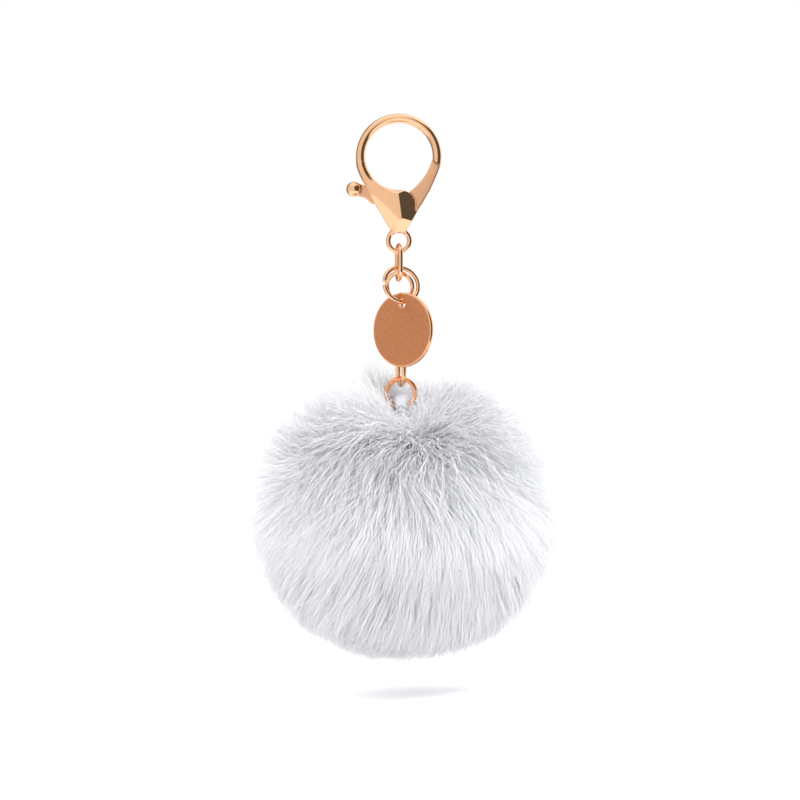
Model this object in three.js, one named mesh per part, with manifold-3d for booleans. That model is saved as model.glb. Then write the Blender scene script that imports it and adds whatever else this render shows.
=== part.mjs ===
// A faux-fur ball on a short chain with a disc tag and a lobster clasp.
// Millimetres, +Z up, front towards -Y. The origin is the point that the clasp hangs from:
// the inner top of its hook.
import * as THREE from "three";
import { mergeVertices } from "three/addons/utils/BufferGeometryUtils.js";
import Module from "manifold-3d";

const wasm = await Module();
wasm.setup();

// Clasp
const HOOK_INNER_RADIUS = 9.1;
const HOOK_BAND = 2.5;
const HOOK_DEPTH = 3.2;
const HOOK_CHAMFER = 0.8;
const BODY_DEPTH = 5.8;
const BODY_HEIGHT = 10.8;
const NECK_WIDTH = 4.2;
const BODY_RIGHT_ANGLE = -27;
const BODY_LEFT_ANGLE = 190;
const BODY_INNER_ANGLE = -170;
const BODY_BULGE_ANGLE = 218;
const HOOK_ROOT_ANGLE = 215;
const PIVOT_DROP = 3.8;
const PIVOT_ANGLE = -86.4;
const BOSS_RADIUS = 3.6;
const EYE_HOLE_RADIUS = 2.2;
const EYE_WIRE = 1.3;

// Gate, its pin and its spring
const GATE_DEPTH = 3.2;
const GATE_PLATE = 1.9;
const GATE_HUB_RADIUS = 3;
const GATE_TIP_ANGLE = -10.5;
const GATE_TIP_WIDTH = 2.7;
const GATE_ROOT_REACH = 1;
const GATE_ROOT_ANGLE = -15;
const GATE_INNER_ROOT_ANGLE = 58;
const GATE_BULGE_ANGLE = -42;
const GATE_INNER_BULGE_ANGLE = -37;
const GATE_OPENS = 28;
const LEVER_LENGTH = 13.6;
const LEVER_ANGLE = 162.6;
const LEVER_WIDTH = 2.8;
const LEVER_BALL = 4.1;
const PIN_RADIUS = 0.75;
const PIN_SKIN = 0.5;
const SPRING_WIRE = 0.3;
const SPRING_RADIUS = 0.65;
const SPRING_LENGTH = 2.9;
const SPRING_TURNS = 4;
const SPRING_REACH = 4;

// Chain, jump rings and tag
const LINK_LENGTH = 10.6;
const LINK_WIDTH = 7;
const LINK_WIRE = 1.4;
const FIRST_LINK_TURN = 97;
const HIDDEN_LINK_TURNS = [90, 0, 106];
const RING_WIRE = 1.18;
const RING_CUT = 0.3;
const TAG_RING_SIZE = 10.9;
const TAG_RING_TURN = 22;
const TAG_RING_LEAN = -16;
const TAG_RING_SHIFT = -0.98;
const TAG_RING_LIFT = 1.66;
const TAG_RING_MOUTH = 1.1;
const TAG_RING_MOUTH_ANGLE = 176;
const CHAIN_RING_SIZE = 8.7;
const CHAIN_RING_TURN = -25;
const CHAIN_RING_LEAN = 11;
const CHAIN_RING_SHIFT = 0.5;
const CHAIN_RING_LIFT = 0.27;
const POMPOM_RING_SIZE = 9;
const POMPOM_RING_WIRE = 1.3;
const POMPOM_RING_CUT_ANGLE = 14;
const TAG_RADIUS = 10;
const TAG_THICKNESS = 1.2;
const TAG_TURN = -39;
const TAG_HOLE_RADIUS = 1.2;
const TAG_HOLE_EDGE = 1.6;

// Ball
const LOOP_WIDTH = 3.7;
const LOOP_THICKNESS = 2.4;
const LOOP_LEG = 8.2;
const KNOT_RADIUS = 3.6;
const THREAD = 0.8;
const BACKING_RADIUS = 25;
const BACKING_WALL = 1.2;
const BACKING_MOUTH = 4.6;
const PILE_RADIUS = 37;
const PILE_HEIGHT = 36.5;
const PILE_MOUTH = 8.6;
const PILE_DIMPLE = 4.4;
const MOUTH_DEPTH = 2.6;

// Clearances
const GAP = 0.3;
const HANG_GAP = 0.25;
const SLOT_GAP = 0.25;
const OVERCUT = 2;

// How finely the curves are cut into flats
const HOOK_STEPS = 60;
const RING_STEPS = 32;
const LINK_STEPS = 36;
const LOOP_STEPS = 32;
const COIL_STEPS = 48;
const SLOT_STEPS = 4;
const WIRE_SIDES = 8;
const COIL_SIDES = 6;
const PIN_SIDES = 20;
const GATE_CURVE = 12;
const DISC_SIDES = 64;
const BALL_SIDES = 36;
const BALL_STEPS = 20;
const HIDDEN_SIDES = 28;
const HIDDEN_STEPS = 15;

const DEGREE = Math.PI / 180;
const HOOK_OUTER_RADIUS = HOOK_INNER_RADIUS + HOOK_BAND;
const HOOK_MIDDLE_RADIUS = HOOK_INNER_RADIUS + HOOK_BAND / 2;
const FAR = 2 * HOOK_OUTER_RADIUS;
const UP = new THREE.Vector3(0, 0, 1);

const gold = { color: 0xf0c096, roughness: 0.16, metalness: 1 };
const copper = { color: 0xe89b72, roughness: 0.2, metalness: 1 };
const satinCopper = { color: 0xc8845a, roughness: 0.45, metalness: 1 };
const steel = { color: 0xb0b2b5, roughness: 0.35, metalness: 1 };
const textile = { color: 0xf0f0f3, roughness: 0.95, metalness: 0 };
const fur = { color: 0xf2f3f6, roughness: 0.9, metalness: 0 };
const fibre = { color: 0xf6f6f6, roughness: 1, metalness: 0 };

const part = new THREE.Group();

// A point in the clasp's own plane at a distance and an angle from a middle.
function polar(radius, degrees, middle = new THREE.Vector2()) {
  return new THREE.Vector2(
    middle.x + radius * Math.cos(degrees * DEGREE),
    middle.y + radius * Math.sin(degrees * DEGREE),
  );
}

function solidOf(geometry) {
  const bare = geometry.clone();
  bare.deleteAttribute("normal");
  bare.deleteAttribute("uv");
  const merged = mergeVertices(bare);
  const vertProperties = merged.attributes.position.array;
  const triVerts = new Uint32Array(merged.index.array);
  return new wasm.Manifold(new wasm.Mesh({ numProp: 3, vertProperties, triVerts }));
}

function geometryOf(solid) {
  const mesh = solid.getMesh();
  const geometry = new THREE.BufferGeometry();
  geometry.setAttribute("position", new THREE.BufferAttribute(mesh.vertProperties, 3));
  geometry.setIndex(new THREE.BufferAttribute(mesh.triVerts, 1));
  geometry.computeVertexNormals();
  return geometry;
}

function addMesh(name, geometry, look, parent = part) {
  const mesh = new THREE.Mesh(geometry, new THREE.MeshStandardMaterial(look));
  mesh.name = name;
  parent.add(mesh);
  return mesh;
}

// An outline in the XZ plane, given a depth along Y, with the same depth each side of Y = 0.
function plate(outline, depth, curveSegments = 24) {
  const options = { depth, curveSegments, bevelEnabled: false };
  const geometry = new THREE.ExtrudeGeometry(outline, options);
  return geometry.translate(0, 0, -depth / 2).rotateX(Math.PI / 2);
}

// A round bar along Y.
function crossBar(radius, length, middle, sides = 32) {
  return new THREE.CylinderGeometry(radius, radius, length, sides).translate(middle.x, 0, middle.y);
}

class Arc extends THREE.Curve {
  // An arc in the XZ plane about its middle, anticlockwise from the front.
  constructor(radius, fromDegrees, toDegrees) {
    super();
    Object.assign(this, { radius, fromDegrees, toDegrees });
  }
  getPoint(t) {
    const degrees = THREE.MathUtils.lerp(this.fromDegrees, this.toDegrees, t);
    const at = polar(this.radius, degrees);
    return new THREE.Vector3(at.x, 0, at.y);
  }
}

class Stadium extends THREE.Curve {
  // A long link's middle line in the XZ plane, with its top at the origin.
  constructor(length, width) {
    super();
    this.radius = width / 2;
    this.side = length - width;
  }
  getPoint(t) {
    const half = Math.PI * this.radius;
    let along = (((t % 1) + 1) % 1) * 2 * (half + this.side);
    let turned = 0;
    if (along > half + this.side) {
      along -= half + this.side;
      turned = 1;
    }
    const angle = Math.min(along, half) / this.radius;
    const down = Math.max(along - half, 0);
    const x = this.radius * Math.cos(angle);
    const z = this.radius * Math.sin(angle) - down;
    const flip = 1 - 2 * turned;
    return new THREE.Vector3(flip * x, 0, flip * z - this.radius - turned * this.side);
  }
}

class Helix extends THREE.Curve {
  constructor(radius, length, turns) {
    super();
    Object.assign(this, { radius, length, turns });
  }
  getPoint(t) {
    const at = polar(this.radius, 360 * this.turns * t);
    return new THREE.Vector3(at.x, at.y, this.length * t);
  }
}

function circleSection(radius, sides) {
  const corners = Array.from({ length: sides }, (_, i) => polar(radius, (360 * i) / sides));
  return new THREE.Shape(corners);
}

// A jump ring hanging below the origin, with its cut at an angle from its middle.
function jumpRing(size, wire, cutAngle, cut) {
  const radius = (size - wire) / 2;
  const half = cut / 2 / radius / DEGREE;
  const path = new Arc(radius, cutAngle + half, cutAngle + 360 - half);
  const geometry = new THREE.ExtrudeGeometry(circleSection(wire / 2, WIRE_SIDES), {
    steps: RING_STEPS,
    extrudePath: path,
  });
  return geometry.translate(0, 0, -radius);
}

// Places a piece that hangs from a point: turned about Z, then leaning to its own back.
function hang(mesh, top, turn, lean = 0) {
  mesh.position.copy(top);
  mesh.rotation.set(lean * DEGREE, 0, turn * DEGREE, "ZXY");
}

// The bottom of a hung piece's middle line.
function bottomOf(mesh, drop) {
  return new THREE.Vector3(0, 0, -drop).applyEuler(mesh.rotation).add(mesh.position);
}

// How far above the wire it hangs on a hung wire's middle lies.
function seat(wireAbove, wireBelow) {
  return (wireAbove + wireBelow) / 2 + HANG_GAP;
}

// Clasp: everything in its group is measured from the hook's middle.
const clasp = new THREE.Group();
clasp.position.z = -HOOK_INNER_RADIUS;
part.add(clasp);

const pivot = polar(HOOK_INNER_RADIUS + PIVOT_DROP, PIVOT_ANGLE);
const neckBottom = -HOOK_INNER_RADIUS - BODY_HEIGHT;
const eyeRadius = EYE_HOLE_RADIUS + EYE_WIRE / 2;
const eyeMiddle = neckBottom - EYE_HOLE_RADIUS - EYE_WIRE / 2;
const closingMiddle = polar(HOOK_MIDDLE_RADIUS, GATE_TIP_ANGLE);
const closingAngle = Math.atan2(closingMiddle.y - pivot.y, closingMiddle.x - pivot.x);

// All that lies on one side of the slanted face where gate and hook meet.
function closingBlock(side, gap) {
  const block = new THREE.BoxGeometry(FAR, FAR, FAR).translate(0, 0, side * (FAR / 2 + gap));
  const tilt = Math.PI / 2 - closingAngle;
  return block.rotateY(tilt).translate(closingMiddle.x, 0, closingMiddle.y);
}

// A four-sided section with its corners cut, for a bar that bends in its own y.
function cutSection(halfX, halfY, corner) {
  return new THREE.Shape([
    new THREE.Vector2(halfX - corner, -halfY),
    new THREE.Vector2(halfX, corner - halfY),
    new THREE.Vector2(halfX, halfY - corner),
    new THREE.Vector2(halfX - corner, halfY),
    new THREE.Vector2(corner - halfX, halfY),
    new THREE.Vector2(-halfX, halfY - corner),
    new THREE.Vector2(-halfX, corner - halfY),
    new THREE.Vector2(corner - halfX, -halfY),
  ]);
}

function hookSolid() {
  const section = cutSection(HOOK_DEPTH / 2, HOOK_BAND / 2, HOOK_CHAMFER);
  const path = new Arc(HOOK_MIDDLE_RADIUS, 2 * GATE_TIP_ANGLE, HOOK_ROOT_ANGLE);
  const hook = new THREE.ExtrudeGeometry(section, { steps: HOOK_STEPS, extrudePath: path });
  return solidOf(hook).subtract(solidOf(closingBlock(-1, -GAP / 2)));
}

function bodyOutline() {
  const rightCorner = polar(BOSS_RADIUS + GATE_ROOT_REACH, BODY_RIGHT_ANGLE, pivot);
  const leftTop = polar(HOOK_OUTER_RADIUS, BODY_LEFT_ANGLE);
  const outline = new THREE.Shape();
  outline.moveTo(NECK_WIDTH / 2, neckBottom - EYE_WIRE / 2);
  outline.lineTo(NECK_WIDTH / 2, neckBottom);
  outline.lineTo(rightCorner.x, rightCorner.y);
  outline.lineTo(pivot.x, pivot.y);
  const innerEnd = BODY_INNER_ANGLE * DEGREE;
  outline.absarc(0, 0, HOOK_INNER_RADIUS, PIVOT_ANGLE * DEGREE, innerEnd, true);
  outline.lineTo(leftTop.x, leftTop.y);
  const bulge = polar(HOOK_OUTER_RADIUS + GATE_ROOT_REACH, BODY_BULGE_ANGLE);
  outline.quadraticCurveTo(bulge.x, bulge.y, -NECK_WIDTH / 2, neckBottom);
  outline.lineTo(-NECK_WIDTH / 2, neckBottom - EYE_WIRE / 2);
  outline.closePath();
  return outline;
}

const leverEnd = polar(LEVER_LENGTH, LEVER_ANGLE, pivot);
const slotWidth = GATE_PLATE + 2 * SLOT_GAP;
const pinPocket = BODY_DEPTH - 2 * PIN_SKIN;

// A straight-sided band from the pivot outwards.
function leverBand(length, angle, halfWidth) {
  const far = polar(length, angle, pivot);
  const aside = polar(halfWidth, angle + 90);
  return new THREE.Shape([
    new THREE.Vector2(pivot.x - aside.x, pivot.y - aside.y),
    new THREE.Vector2(far.x - aside.x, far.y - aside.y),
    new THREE.Vector2(far.x + aside.x, far.y + aside.y),
    new THREE.Vector2(pivot.x + aside.x, pivot.y + aside.y),
  ]);
}

const springTop = new THREE.Vector2(pivot.x - SPRING_REACH, 0);
springTop.y = pivot.y + SPRING_REACH * Math.tan((180 - LEVER_ANGLE) * DEGREE);
springTop.y -= LEVER_WIDTH / 2 / Math.cos((180 - LEVER_ANGLE) * DEGREE) + GAP;
const springBottom = springTop.y - SPRING_LENGTH;

// The slot that the gate's plate and lever swing in, with the spring's pocket.
function slotSolid() {
  const halfWidth = LEVER_WIDTH / 2 + GAP;
  let slot = solidOf(crossBar(BOSS_RADIUS + 2 * GAP, slotWidth, pivot));
  for (let i = 0; i <= SLOT_STEPS; i++) {
    const angle = LEVER_ANGLE + (GATE_OPENS * i) / SLOT_STEPS;
    slot = slot.add(solidOf(plate(leverBand(FAR, angle, halfWidth), slotWidth)));
  }
  const pocketHalf = SPRING_RADIUS + SPRING_WIRE / 2 + GAP;
  const pocketHeight = springTop.y - springBottom + 2 * GAP + LEVER_WIDTH / 2;
  const pocket = new THREE.BoxGeometry(2 * pocketHalf, slotWidth, pocketHeight);
  const pocketMiddle = springBottom - GAP + pocketHeight / 2;
  return slot.add(solidOf(pocket.translate(springTop.x, 0, pocketMiddle)));
}

function claspBody() {
  const eye = new THREE.TorusGeometry(eyeRadius, EYE_WIRE / 2, WIRE_SIDES, LINK_STEPS);
  eye.rotateX(Math.PI / 2);
  return hookSolid()
    .add(solidOf(plate(bodyOutline(), BODY_DEPTH)))
    .add(solidOf(crossBar(BOSS_RADIUS, BODY_DEPTH, pivot)))
    .add(solidOf(eye.translate(0, 0, eyeMiddle)))
    .subtract(slotSolid())
    .subtract(solidOf(crossBar(PIN_RADIUS + SLOT_GAP, pinPocket, pivot)));
}

function gateOutline() {
  const tipMiddle = HOOK_MIDDLE_RADIUS - GATE_TIP_WIDTH / 2;
  const tipInner = polar(tipMiddle, GATE_TIP_ANGLE / 2);
  const tipOuter = polar(tipMiddle + GATE_TIP_WIDTH, GATE_TIP_ANGLE / 2);
  const rootOuter = polar(BOSS_RADIUS + GATE_ROOT_REACH, GATE_ROOT_ANGLE, pivot);
  const rootInner = polar(BOSS_RADIUS + GAP, GATE_INNER_ROOT_ANGLE, pivot);
  const outerBulge = polar(HOOK_OUTER_RADIUS + GATE_ROOT_REACH, GATE_BULGE_ANGLE);
  const innerBulge = polar(HOOK_INNER_RADIUS + GATE_ROOT_REACH / 2, GATE_INNER_BULGE_ANGLE);
  const outline = new THREE.Shape();
  outline.moveTo(pivot.x, pivot.y);
  outline.lineTo(rootOuter.x, rootOuter.y);
  outline.quadraticCurveTo(outerBulge.x, outerBulge.y, tipOuter.x, tipOuter.y);
  outline.lineTo(tipInner.x, tipInner.y);
  outline.quadraticCurveTo(innerBulge.x, innerBulge.y, rootInner.x, rootInner.y);
  outline.closePath();
  return outline;
}

function claspGate() {
  const armOutline = gateOutline();
  const lever = leverBand(LEVER_LENGTH, LEVER_ANGLE, LEVER_WIDTH / 2);
  const ball = new THREE.SphereGeometry(LEVER_BALL / 2, PIN_SIDES, HIDDEN_STEPS);
  const reach = crossBar(BOSS_RADIUS + GAP, FAR, pivot, DISC_SIDES);
  return solidOf(plate(armOutline, GATE_DEPTH, GATE_CURVE))
    .subtract(solidOf(reach))
    .add(solidOf(plate(armOutline, GATE_PLATE, GATE_CURVE)))
    .add(solidOf(crossBar(GATE_HUB_RADIUS, GATE_PLATE, pivot)))
    .add(solidOf(plate(lever, GATE_PLATE)))
    .add(solidOf(ball.translate(leverEnd.x, 0, leverEnd.y)))
    .subtract(solidOf(closingBlock(1, -GAP / 2)).intersect(solidOf(rightHalf())))
    .subtract(solidOf(crossBar(PIN_RADIUS + SLOT_GAP, FAR, pivot, PIN_SIDES)));
}

// The half of space right of the pivot, which keeps the lever out of the closing cut.
function rightHalf() {
  return new THREE.BoxGeometry(FAR, FAR, 2 * FAR).translate(pivot.x + FAR / 2, 0, 0);
}

function gateSpring() {
  const path = new Helix(SPRING_RADIUS, SPRING_LENGTH - SPRING_WIRE, SPRING_TURNS);
  const section = circleSection(SPRING_WIRE / 2, COIL_SIDES);
  const coil = new THREE.ExtrudeGeometry(section, { steps: COIL_STEPS, extrudePath: path });
  return coil.translate(springTop.x, 0, springBottom + SPRING_WIRE / 2);
}

addMesh("clasp_body", geometryOf(claspBody()), gold, clasp);
addMesh("clasp_gate", geometryOf(claspGate()), gold, clasp);
addMesh("gate_pin", crossBar(PIN_RADIUS, pinPocket - 2 * GAP, pivot, PIN_SIDES), steel, clasp);
addMesh("gate_spring", gateSpring(), steel, clasp);

// Chain
const linkDrop = LINK_LENGTH - LINK_WIRE;
const linkPath = new Stadium(linkDrop, LINK_WIDTH - LINK_WIRE);
const linkGeometry = new THREE.TubeGeometry(linkPath, LINK_STEPS, LINK_WIRE / 2, WIRE_SIDES, true);

function addLink(number, top, turn) {
  const link = addMesh("chain_link_" + number, linkGeometry.clone(), gold);
  hang(link, top, turn);
  return link;
}

const eyeBottom = clasp.position.z + eyeMiddle - eyeRadius;
const firstTop = new THREE.Vector3(0, 0, eyeBottom + seat(EYE_WIRE, LINK_WIRE));
const firstLink = addLink(1, firstTop, FIRST_LINK_TURN);
const firstBottom = bottomOf(firstLink, linkDrop);

// A point on the first link's bottom wire, for a ring's top to lie over.
function overFirstLink(shift, lift) {
  const along = new THREE.Vector3(shift, 0, 0).applyAxisAngle(UP, FIRST_LINK_TURN * DEGREE);
  return firstBottom.clone().add(along).addScaledVector(UP, seat(LINK_WIRE, RING_WIRE) + lift);
}

const tagRingShape = jumpRing(TAG_RING_SIZE, RING_WIRE, TAG_RING_MOUTH_ANGLE, TAG_RING_MOUTH);
const tagRing = addMesh("tag_ring", tagRingShape, gold);
hang(tagRing, overFirstLink(TAG_RING_SHIFT, TAG_RING_LIFT), TAG_RING_TURN, TAG_RING_LEAN);

const chainRingShape = jumpRing(CHAIN_RING_SIZE, RING_WIRE, 0, RING_CUT);
const chainRing = addMesh("chain_ring", chainRingShape, gold);
const chainRingTop = overFirstLink(CHAIN_RING_SHIFT, CHAIN_RING_LIFT);
hang(chainRing, chainRingTop, CHAIN_RING_TURN, CHAIN_RING_LEAN);

let hangsOn = bottomOf(chainRing, CHAIN_RING_SIZE - RING_WIRE);
let wireAbove = RING_WIRE;
HIDDEN_LINK_TURNS.forEach((turn, i) => {
  const top = hangsOn.clone().addScaledVector(UP, seat(wireAbove, LINK_WIRE));
  hangsOn = bottomOf(addLink(i + 2, top, turn), linkDrop);
  wireAbove = LINK_WIRE;
});

// Tag: its hole's upper wall rests on the tag ring's wire.
function tagSolid() {
  const disc = new THREE.CylinderGeometry(TAG_RADIUS, TAG_RADIUS, TAG_THICKNESS, DISC_SIDES);
  const hole = new THREE.CylinderGeometry(TAG_HOLE_RADIUS, TAG_HOLE_RADIUS, OVERCUT, PIN_SIDES);
  hole.translate(0, 0, TAG_RADIUS - TAG_HOLE_EDGE - TAG_HOLE_RADIUS);
  return solidOf(disc).subtract(solidOf(hole));
}

const tag = addMesh("tag_disc", geometryOf(tagSolid()), satinCopper);
const tagHole = bottomOf(tagRing, TAG_RING_SIZE - RING_WIRE);
const holeSlack = TAG_HOLE_RADIUS - RING_WIRE / 2 - HANG_GAP;
const tagDrop = TAG_RADIUS - TAG_HOLE_EDGE - TAG_HOLE_RADIUS + holeSlack;
hang(tag, tagHole.clone().addScaledVector(UP, -tagDrop), TAG_TURN);

// Ring in the textile loop
const pompomRingTop = hangsOn.clone();
pompomRingTop.addScaledVector(UP, seat(LINK_WIRE, POMPOM_RING_WIRE));
const pompomRingShape = jumpRing(
  POMPOM_RING_SIZE,
  POMPOM_RING_WIRE,
  POMPOM_RING_CUT_ANGLE,
  RING_CUT,
);
const pompomRing = addMesh("pompom_ring", pompomRingShape, copper);
hang(pompomRing, pompomRingTop, 0);

// Ball: its group is measured from the ring wire that the loop goes over.
const ball = new THREE.Group();
ball.position.copy(bottomOf(pompomRing, POMPOM_RING_SIZE - POMPOM_RING_WIRE));
part.add(ball);

class LoopPath extends THREE.Curve {
  // Up the front leg, over the ring's wire and down the back leg.
  constructor(radius, leg) {
    super();
    Object.assign(this, { radius, leg });
  }
  getPoint(t) {
    const arc = Math.PI * this.radius;
    const along = t * (arc + 2 * this.leg);
    const down = Math.max(this.leg - along, along - this.leg - arc, 0);
    const angle = Math.PI + THREE.MathUtils.clamp(this.leg - along, -arc, 0) / this.radius;
    const y = this.radius * Math.cos(angle);
    return new THREE.Vector3(0, y, this.radius * Math.sin(angle) - down);
  }
}

const loopRadius = POMPOM_RING_WIRE / 2 + HANG_GAP + LOOP_THICKNESS / 2;
const loopPath = new LoopPath(loopRadius, LOOP_LEG);
const loopOptions = { steps: LOOP_STEPS, extrudePath: loopPath };
const loopSection = cutSection(LOOP_THICKNESS / 2, LOOP_WIDTH / 2, LOOP_THICKNESS / 3);
addMesh("hanging_loop", new THREE.ExtrudeGeometry(loopSection, loopOptions), textile, ball);

const loopReach = loopRadius + LOOP_THICKNESS / 2;
const knotMiddle = -LOOP_LEG - GAP - KNOT_RADIUS;
const threadMiddle = -LOOP_LEG + THREAD;
const threadRadius = Math.hypot(loopReach, LOOP_WIDTH / 2) + GAP + THREAD / 2;
const backingMiddle = threadMiddle + MOUTH_DEPTH - BACKING_RADIUS;

const knot = new THREE.SphereGeometry(KNOT_RADIUS, PIN_SIDES, HIDDEN_STEPS);
addMesh("loop_knot", knot.translate(0, 0, knotMiddle), textile, ball);

const thread = new THREE.TorusGeometry(threadRadius, THREAD / 2, WIRE_SIDES, RING_STEPS);
addMesh("gathering_thread", thread.translate(0, 0, threadMiddle), textile, ball);

// Half a ball's section from its bottom pole up to the edge of its mouth.
function ballProfile(radius, height, mouth, steps) {
  const top = Math.acos(mouth / radius);
  const points = Array.from({ length: steps }, (_, i) => {
    const angle = THREE.MathUtils.lerp(top, -Math.PI / 2, i / steps);
    const x = radius * Math.cos(angle);
    return new THREE.Vector2(x, backingMiddle + height * Math.sin(angle));
  });
  points.push(new THREE.Vector2(0, backingMiddle - height));
  return points.reverse();
}

// A profile in the XZ plane, turned about Z.
function turned(profile, segments) {
  return new THREE.LatheGeometry(profile, segments).rotateX(Math.PI / 2);
}

// Backing: a shell that is open at the mouth.
const backingMouth = Math.max(BACKING_MOUTH, threadRadius + THREAD / 2 + GAP);
const backingInner = BACKING_RADIUS - BACKING_WALL;
const backingProfile = [
  ...ballProfile(BACKING_RADIUS, BACKING_RADIUS, backingMouth, HIDDEN_STEPS),
  ...ballProfile(backingInner, backingInner, backingMouth, HIDDEN_STEPS).reverse(),
];
addMesh("fur_backing", turned(backingProfile, HIDDEN_SIDES), textile, ball);

// Stuffing: a ball with a well under the mouth for the knot.
const stuffingRadius = backingInner - 2 * GAP;
const wellRadius = Math.max(KNOT_RADIUS, threadRadius + THREAD / 2) + GAP;
const wellBottom = knotMiddle - KNOT_RADIUS - GAP;
const stuffingProfile = [
  ...ballProfile(stuffingRadius, stuffingRadius, wellRadius, HIDDEN_STEPS),
  new THREE.Vector2(wellRadius, wellBottom),
  new THREE.Vector2(0, wellBottom),
];
addMesh("stuffing", turned(stuffingProfile, HIDDEN_SIDES), fibre, ball);

// Pile: a plain skin from the backing out to the hair's dense outline, dimpled at the mouth.
const pileInner = BACKING_RADIUS + 2 * GAP;
const pileOutside = ballProfile(PILE_RADIUS, PILE_HEIGHT, 2 * PILE_MOUTH, BALL_STEPS);
const pileInside = ballProfile(pileInner, pileInner, backingMouth, HIDDEN_STEPS).reverse();
const shoulder = pileOutside.at(-1);
const dimpleEdge = new THREE.Vector2(PILE_MOUTH, pileInside[0].y + PILE_DIMPLE);
const pileLip = new THREE.Vector2((shoulder.x + dimpleEdge.x) / 2, shoulder.y - GAP);
const pileProfile = [...pileOutside, pileLip, dimpleEdge, ...pileInside];
addMesh("fur_pile", turned(pileProfile, BALL_SIDES), fur, ball);

export default part;
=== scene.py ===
import math

import bpy
import numpy as np
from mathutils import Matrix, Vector


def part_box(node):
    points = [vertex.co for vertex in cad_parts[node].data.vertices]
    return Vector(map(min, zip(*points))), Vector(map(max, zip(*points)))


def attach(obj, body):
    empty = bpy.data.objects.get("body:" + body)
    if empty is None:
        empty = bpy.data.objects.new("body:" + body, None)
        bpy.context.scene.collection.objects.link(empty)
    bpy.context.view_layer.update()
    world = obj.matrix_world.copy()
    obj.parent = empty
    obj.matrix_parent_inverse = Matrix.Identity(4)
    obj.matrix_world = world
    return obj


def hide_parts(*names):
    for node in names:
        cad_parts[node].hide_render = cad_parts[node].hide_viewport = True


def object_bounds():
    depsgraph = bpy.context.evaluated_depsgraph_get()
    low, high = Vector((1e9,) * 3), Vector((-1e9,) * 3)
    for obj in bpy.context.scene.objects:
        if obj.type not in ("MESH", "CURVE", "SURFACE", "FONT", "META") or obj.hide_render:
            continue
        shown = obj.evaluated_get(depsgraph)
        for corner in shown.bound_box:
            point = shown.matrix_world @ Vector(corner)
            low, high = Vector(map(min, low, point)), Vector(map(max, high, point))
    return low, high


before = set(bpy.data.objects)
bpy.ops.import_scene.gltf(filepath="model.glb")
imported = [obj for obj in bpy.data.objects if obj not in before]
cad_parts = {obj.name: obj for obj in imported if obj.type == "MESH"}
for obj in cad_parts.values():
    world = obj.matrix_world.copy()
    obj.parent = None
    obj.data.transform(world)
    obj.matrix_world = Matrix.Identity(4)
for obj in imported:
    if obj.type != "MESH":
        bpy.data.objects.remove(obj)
cad_low, cad_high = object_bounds()

MM = 0.001
TAU = 2 * math.pi
rng = np.random.default_rng(20261)


def unit(vectors):
    return vectors / np.linalg.norm(vectors, axis=-1, keepdims=True)


def step_between(value, low, high):
    t = np.clip((value - low) / (high - low), 0, 1)
    return t * t * (3 - 2 * t)


def middle_of(node):
    """The middle of a CAD node's box, in millimetres."""
    low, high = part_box(node)
    return np.array((Vector(low) + Vector(high)) / 2) / MM


# ---------------------------------------------------------------- node materials


def new_material(name):
    mat = bpy.data.materials.new(name)
    mat.use_nodes = True
    return mat, mat.node_tree, mat.node_tree.nodes["Principled BSDF"]


def add(tree, kind, **sockets):
    node = tree.nodes.new(kind)
    for key, value in sockets.items():
        node.inputs[key.replace("_", " ")].default_value = value
    return node


def noise(tree, scale, detail=3.0, rough=0.6):
    coord = tree.nodes.new("ShaderNodeTexCoord")
    tex = add(tree, "ShaderNodeTexNoise", Scale=scale, Detail=detail, Roughness=rough)
    tree.links.new(coord.outputs["Object"], tex.inputs["Vector"])
    return tex.outputs["Fac"]


def ramp(tree, value, stops):
    node = tree.nodes.new("ShaderNodeValToRGB")
    elements = node.color_ramp.elements
    while len(elements) < len(stops):
        elements.new(0.5)
    for element, (at, colour) in zip(elements, stops):
        element.position = at
        element.color = (*colour, 1)
    tree.links.new(value, node.inputs["Fac"])
    return node.outputs["Color"]


def span(tree, value, low, high):
    node = add(tree, "ShaderNodeMapRange")
    node.inputs["To Min"].default_value = low
    node.inputs["To Max"].default_value = high
    tree.links.new(value, node.inputs["Value"])
    return node.outputs["Result"]


def bump(tree, shader, height, strength, distance):
    node = add(tree, "ShaderNodeBump", Strength=strength, Distance=distance)
    tree.links.new(height, node.inputs["Height"])
    tree.links.new(node.outputs["Normal"], shader.inputs["Normal"])


def metal(name, colour, roughness, spread, grain_scale, grain, wear, speckled=False):
    """Plated metal: its tone, its gloss and its surface all vary a little.
    Speckled metal varies in tone as finely as its grain, and other metal broadly."""
    mat, tree, shader = new_material(name)
    shader.inputs["Metallic"].default_value = 1
    fine = noise(tree, grain_scale)
    broad = noise(tree, 260, 2)
    low = tuple(c * (1 - wear) for c in colour)
    high = tuple(min(1, c * (1 + wear)) for c in colour)
    toned = fine if speckled else broad
    tree.links.new(ramp(tree, toned, [(0.3, low), (0.7, high)]), shader.inputs["Base Color"])
    gloss = span(tree, fine, roughness - spread, roughness + spread)
    tree.links.new(gloss, shader.inputs["Roughness"])
    bump(tree, shader, fine, grain, 0.00003)
    return mat


GOLD = (0.95, 0.57, 0.33)
gold = metal("gold_polished", GOLD, 0.09, 0.03, 700, 0.08, 0.03)
gold_satin = metal("gold_satin", (0.93, 0.53, 0.31), 0.3, 0.03, 1200, 0.03, 0.02)
copper = metal("copper_polished", (1.0, 0.43, 0.2), 0.12, 0.04, 700, 0.1, 0.04)
copper_satin = metal(
    "copper_satin", (0.6, 0.253, 0.117), 0.4, 0.1, 1700, 0.9, 0.13, speckled=True
)
copper_rim = metal("copper_rim", (1.0, 0.5, 0.27), 0.14, 0.04, 700, 0.1, 0.04)
steel = metal("steel_plain", (0.6, 0.6, 0.6), 0.3, 0.08, 1500, 0.3, 0.06)


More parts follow.
